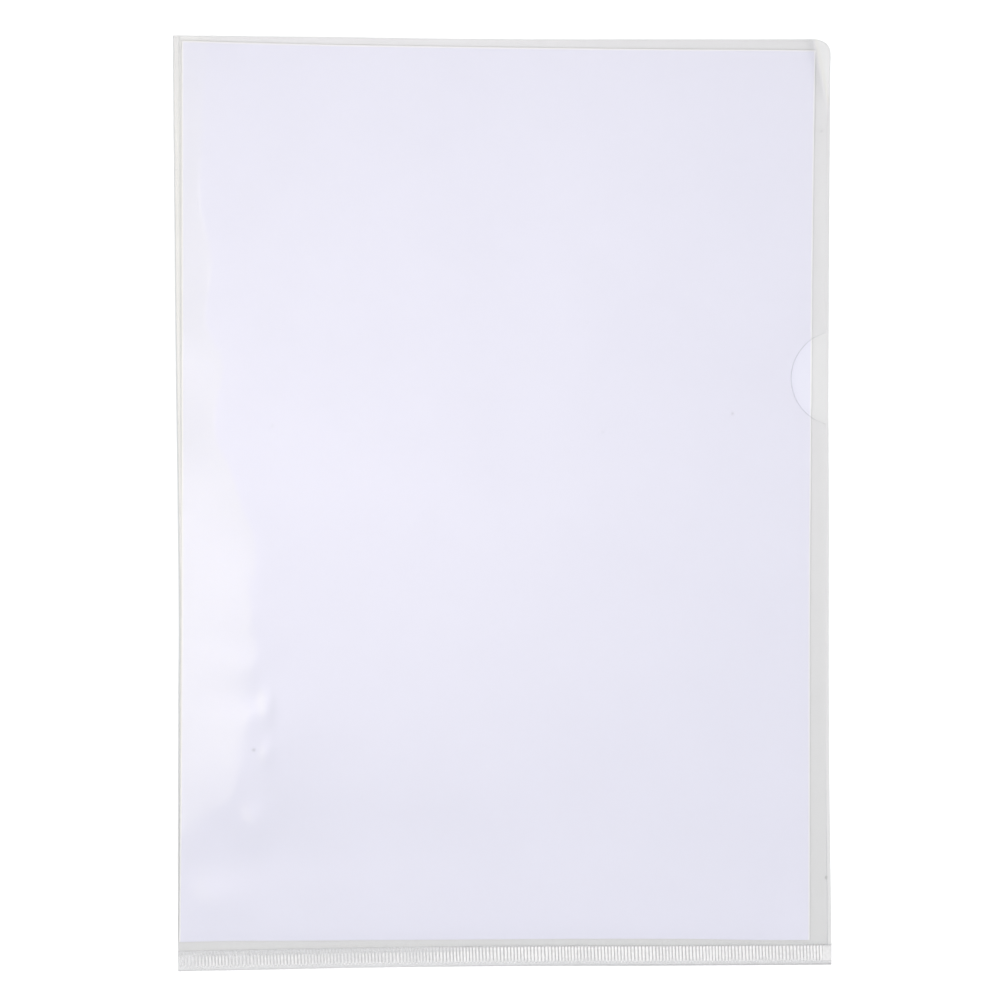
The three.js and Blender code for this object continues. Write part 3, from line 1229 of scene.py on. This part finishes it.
@dataclass
class PaperSheet:
    """One sheet of A4 paper in the pocket, turned a little and not quite flat."""

    sizes: FolderSizes
    width: float = 210.0
    height: float = 297.0
    tilt: float = math.radians(-0.443)
    rim: float = 0.5
    across_lines: int = 66
    page_lines: int = 92
    cockle_waves: int = 6
    cockle_height: float = 0.025
    cockle_from_edge: float = 12.0
    left_bow: Knots = (
        (-148.5, 0.0), (-131.0, 0.1), (-98.0, 0.3), (-32.0, 0.5), (18.0, 0.32), (67.0, 0.14),
        (126.0, -0.08), (148.5, -0.1),
    )
    right_bow: Knots = (
        (-148.5, 0.0), (-114.0, 0.2), (-81.0, 0.4), (-32.0, 0.65), (18.0, 0.6), (83.0, 0.5),
        (116.0, 0.33), (133.0, 0.17), (148.5, 0.0),
    )
    top_bow: Knots = (
        (-105.0, -0.6), (-97.0, -0.45), (-66.0, 0.0), (-17.0, 0.27), (33.0, 0.3), (66.0, 0.2),
        (93.0, 0.0), (105.0, 0.0),
    )
    foot_bow: Knots = (
        (-105.0, 0.0), (-97.0, 0.2), (-66.0, 0.33), (-17.0, 0.53), (33.0, 0.63), (66.0, 0.47),
        (93.0, 0.0), (105.0, 0.0),
    )
    seed: int = 3

    def shell(self) -> Shell:
        """Lays a grid on the sheet, closer at its borders, and lifts it by slow waves.

        The lift is a sum of plane waves, each a sine of the distance along its own direction,
        and is eased to nothing at the borders.

        Returns:
            The sheet.
        """
        s = self.sizes
        low, high = (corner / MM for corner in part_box("paper_sheet"))
        middle = (low + high) / 2
        x = self.stations(self.width, self.across_lines)[None, :]
        y = self.stations(self.height, self.page_lines)[:, None]
        cos, sin = math.cos(self.tilt), math.sin(self.tilt)
        u, v = self.bowed(x, y)
        plan = np.stack([u * cos - v * sin + middle.x, u * sin + v * cos + middle.y], axis=2)
        rng = np.random.default_rng(self.seed)
        angle = rng.uniform(0.0, math.pi, self.cockle_waves)
        length = rng.uniform(40.0, 110.0, self.cockle_waves)
        shift = rng.uniform(0.0, 2 * math.pi, self.cockle_waves)
        run = plan[..., :1] * np.cos(angle) + plan[..., 1:] * np.sin(angle)
        waves = np.sin(2 * math.pi * run / length + shift).mean(axis=-1)
        from_side = self.width / 2 - np.abs(x)
        inside = eased(from_side, 0.0, self.cockle_from_edge)
        inside = inside * eased(self.height / 2 - np.abs(y), 0.0, self.cockle_from_edge)
        lift = self.cockle_height * (1.0 + waves) / 2 * inside
        over = at_heights(plan, s.paper_high + lift)
        under = at_heights(plan, s.paper_low + lift)
        # Painted highlight: a bright band along the sheet's sides and top edge.
        bright = np.minimum(from_side, self.height / 2 - y) < self.rim * 0.8
        return Shell(over, under, plan, {"painted_light_and_shade": bright.astype(float)})

    def bowed(self, x: Array, y: Array) -> tuple[Array, Array]:
        """Draws the sheet's four edges in by their knots, least at the middle of the sheet.

        Args:
            x: distances across, as one row.
            y: distances up, as one column.

        Returns:
            The moved distances across and up, as grids.
        """
        right = 0.5 + x / self.width
        top = 0.5 + y / self.height
        from_left = through_knots(y, self.left_bow)
        across = (1 - right) * from_left - right * through_knots(y, self.right_bow)
        along = (1 - top) * through_knots(x, self.foot_bow) - top * through_knots(x, self.top_bow)
        return x + across, y + along

    def stations(self, length: float, count: int) -> Array:
        """Places grid lines evenly, with two more close together at each rim's inner side.

        Args:
            length: the sheet's size that way.
            count: lines between the rims.

        Returns:
            Distances from the middle.
        """
        half = length / 2
        close = self.rim * 0.7
        inner = np.linspace(self.rim - half, half - self.rim, count)
        return np.concatenate([[-half, close - half], inner, [half - close, half]])

    def build(self, paper: Material) -> Thing:
        """Makes the sheet and lets it slide with its body.

        Args:
            paper: the paper's material.

        Returns:
            The piece.
        """
        piece = self.shell().build("paper", paper)
        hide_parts("paper_sheet")
        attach(piece, Body.PAPER.value)
        return piece


# Studio


@dataclass(frozen=True)
class Lamp:
    """One square soft box that looks at the middle of the folder."""

    name: str
    place: tuple[float, float, float]
    width: float
    height: float
    power: float
    tint: Colour = (1.0, 1.0, 1.0)
    mirrored: bool = False

    def build(self) -> Thing:
        """Hangs the lamp and turns it to the folder, with its width level.

        Returns:
            The lamp's object.
        """
        data = bpy.data.lights.new(self.name, "AREA")
        data.shape = "RECTANGLE"
        data.size, data.size_y = self.width, self.height
        data.energy = self.power
        data.color = self.tint
        lamp = placed(self.name, data)
        lamp.visible_glossy = self.mirrored
        away = Vector(self.place).normalized()
        across = Vector((0.0, 1.0, 0.0)).cross(away).normalized()
        turn = Matrix((across, away.cross(across), away)).transposed().to_4x4()
        lamp.matrix_world = Matrix.Translation(Vector(self.place)) @ turn
        return lamp


@dataclass(frozen=True)
class Lobe:
    """A soft bright patch of the ceiling, which the film mirrors as its sheen."""

    way: tuple[float, float, float]
    angle: float
    strength: float
    tint: Colour = (1.0, 0.92, 1.0)

    def background(self, graph: Graph, way: Socket) -> Socket:
        """Adds the lobe: e^(-(a/A)²) of the angle a from its direction, a² as 2(1 - cos a).

        Args:
            graph: the world's nodes.
            way: the direction looked in.

        Returns:
            The lobe's light.
        """
        dot = graph.add("VectorMath", operation="DOT_PRODUCT")
        graph.feed(dot, i0=way, i1=Vector(self.way).normalized())
        width = 2.0 * (1.0 - math.cos(math.radians(self.angle)))
        gap = graph.math("MULTIPLY_ADD", dot.outputs["Value"], 2.0 / width, -2.0 / width)
        strength = graph.math("MULTIPLY", graph.math("EXPONENT", gap), self.strength)
        light = graph.feed(graph.add("Background"), Color=(*self.tint, 1), Strength=strength)
        return light.outputs[0]


@dataclass
class Studio:
    """Floor, soft light all round, four soft boxes, three mirrored boxes, camera."""

    floor_drop: float = 0.1
    floor_colour: Colour = (0.853, 0.861, 0.879)
    floor_glow: float = 0.3
    floor_half: float = 1.6
    around: float = 0.445
    lobes: tuple[Lobe, ...] = (
        Lobe((0.012, -0.005, 1.0), 6.8, 0.56),
        Lobe((-0.03, 0.05, 1.0), 9.0, 1.62),
    )
    lens: float = 100.0
    sensor: float = 36.0
    passes_of_film: int = 32
    camera_place: tuple[float, float, float] = (-46.47, 15.47, 921.33)
    camera_turn: Colour = (0.8799, 2.7896, 0.2011)
    lamps: tuple[Lamp, ...] = (
        Lamp("box_top_left", (-1.35, 1.35, 1.8), 0.72, 0.72, 8.8),
        Lamp("box_top_right", (1.5, 1.3, 1.8), 0.72, 0.72, 2.6),
        Lamp("box_foot_left", (-1.35, -1.4, 1.8), 0.72, 0.72, 12.0),
        Lamp("box_foot_right", (1.5, -1.4, 1.8), 0.72, 0.72, 23.0),
        Lamp("box_glare", (-0.56, 0.07, 1.6), 0.66, 0.68, 1.03, (1.0, 0.95, 0.64), True),
        Lamp("box_glare_rim", (-0.55, 0.0, 1.61), 0.7, 0.82, 1.32, (1.0, 0.95, 0.64), True),
        Lamp("box_ear", (-1.12, 0.09, 1.6), 0.3, 0.36, 0.74, mirrored=True),
    )

    def floor(self) -> Thing:
        """Lays the floor, white to the camera where nothing lies between.

        The share of glow is added only for camera rays that have passed no film, so the bare
        floor is white and still takes the folder's shadow.

        Returns:
            The floor's object.
        """
        half = self.floor_half
        z = -self.floor_drop * MM
        corners = [(-half, -half, z), (half, -half, z), (half, half, z), (-half, half, z)]
        mesh = bpy.data.meshes.new("floor")
        mesh.from_pydata(corners, [], [(0, 1, 2, 3)])
        material, graph = new_material("studio_floor")
        matt = graph.feed(graph.add("BsdfDiffuse"), Color=(*self.floor_colour, 1))
        path = graph.add("LightPath")
        bare = graph.math("LESS_THAN", path.outputs["Transparent Depth"], 0.5)
        seen = graph.math("MULTIPLY", path.outputs["Is Camera Ray"], bare)
        strength = graph.math("MULTIPLY", seen, self.floor_glow)
        glow = graph.feed(graph.add("Emission"), Strength=strength)
        graph.show(graph.feed(graph.add("AddShader"), i0=matt.outputs[0], i1=glow.outputs[0]))
        mesh.materials.append(material)
        floor = placed("floor", mesh)
        return floor

    def world(self) -> None:
        """Sets the light all round: white to the camera, plain grey with soft lobes above."""
        world = bpy.data.worlds.new("studio")
        bpy.context.scene.world = world
        world.use_nodes = True
        graph = Graph(world.node_tree)
        way = graph.add("TexCoord").outputs["Generated"]
        light = graph.feed(graph.add("Background"), Color=(1, 1, 1, 1), Strength=self.around)
        for lobe in self.lobes:
            more = lobe.background(graph, way)
            light = graph.feed(graph.add("AddShader"), i0=light.outputs[0], i1=more)
        white = graph.feed(graph.add("Background"), Color=(1, 1, 1, 1), Strength=1.0)
        camera = graph.add("LightPath").outputs["Is Camera Ray"]
        graph.show(graph.mixed(camera, light, white), "OutputWorld")

    def camera(self) -> Thing:
        """Sets the camera where the photograph was taken from.

        Its turn is Rz Ry Rx of three small angles, from the folder's axes to the camera's.

        Returns:
            The camera's object.
        """
        data = bpy.data.cameras.new("camera")
        data.lens = self.lens
        data.sensor_width = self.sensor
        data.clip_start = 0.01
        camera = placed("camera", data)
        rx, ry, rz = (math.radians(angle) for angle in self.camera_turn)
        turn = Matrix.Rotation(rz, 4, "Z") @ Matrix.Rotation(ry, 4, "Y") @ Matrix.Rotation(rx, 4, "X")
        place = Vector(self.camera_place) * MM
        camera.matrix_world = Matrix.Translation(place) @ turn.transposed()
        bpy.context.scene.camera = camera
        return camera

    def build(self) -> None:
        """Builds the whole studio."""
        scene = bpy.context.scene
        scene.view_settings.view_transform = "Standard"
        scene.cycles.transparent_max_bounces = self.passes_of_film
        self.camera()
        self.floor()
        self.world()
        for lamp in self.lamps:
            lamp.build()
        LOG.info("studio: floor, camera and %d lamps", len(self.lamps))


def main() -> None:
    """Builds the folder in order and reports each piece."""
    logging.basicConfig(level=logging.INFO, format="%(name)s: %(message)s")
    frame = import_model()
    sizes = FolderSizes.from_frame(frame)
    effects = SharedEffects()
    film = FilmFinish(effects).material()
    pieces = (
        BackLeaf(sizes).build(film),
        FrontLeaf(sizes).build(film),
        Weld(sizes).build(WeldFinish(effects).material()),
        PaperSheet(sizes).build(PaperFinish(effects).material()),
    )
    for piece in pieces:
        LOG.info("%s: %d faces", piece.name, len(piece.data.polygons))
    Studio().build()


if __name__ == "__main__":
    main()
